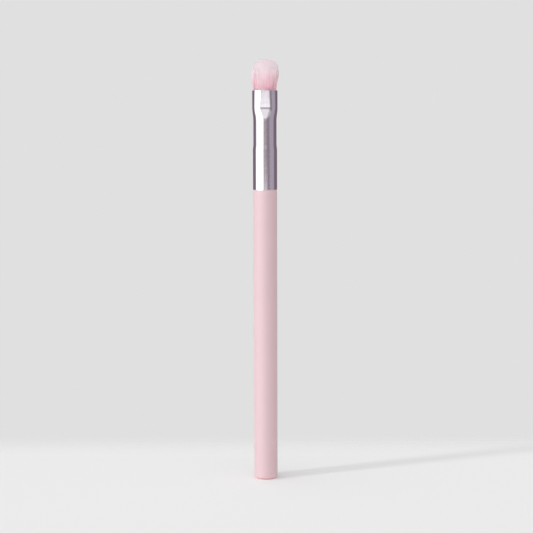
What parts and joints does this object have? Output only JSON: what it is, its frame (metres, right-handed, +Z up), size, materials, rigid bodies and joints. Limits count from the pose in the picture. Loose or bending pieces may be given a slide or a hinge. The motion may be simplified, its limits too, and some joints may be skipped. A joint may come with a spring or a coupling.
{
  "type": "eyeshadow brush",
  "caption": "Slim make-up brush for eyeshadow, standing on its butt: straight lacquered handle, drawn metal ferrule pressed flat at the mouth, and a soft domed filament tuft.",
  "frame": {"origin": "centre of the flat butt face that the brush stands on", "axes": "+Z up along the brush from butt to tuft, X across the width of the flattened mouth and tuft, Y through their depth with the face in the picture towards -Y"},
  "size_m": [0.0097, 0.0086, 0.15],
  "materials": {
    "pink_lacquered_wood": "turned hardwood under satin pale pink lacquer",
    "satin_aluminium": "drawn and anodised to a satin mauve silver",
    "pink_filament": "fine tapered polyester filament, deeper pink at the roots and pale at the tips",
    "cured_epoxy": "poured and cured, hidden",
    "cured_glue": "cured film, hidden"
  },
  "bodies": {
    "root": {"handle": "pink_lacquered_wood", "ferrule": "satin_aluminium", "tuft": "pink_filament", "resin_plug": "cured_epoxy", "handle_adhesive": "cured_glue"}
  },
  "joints": []
}
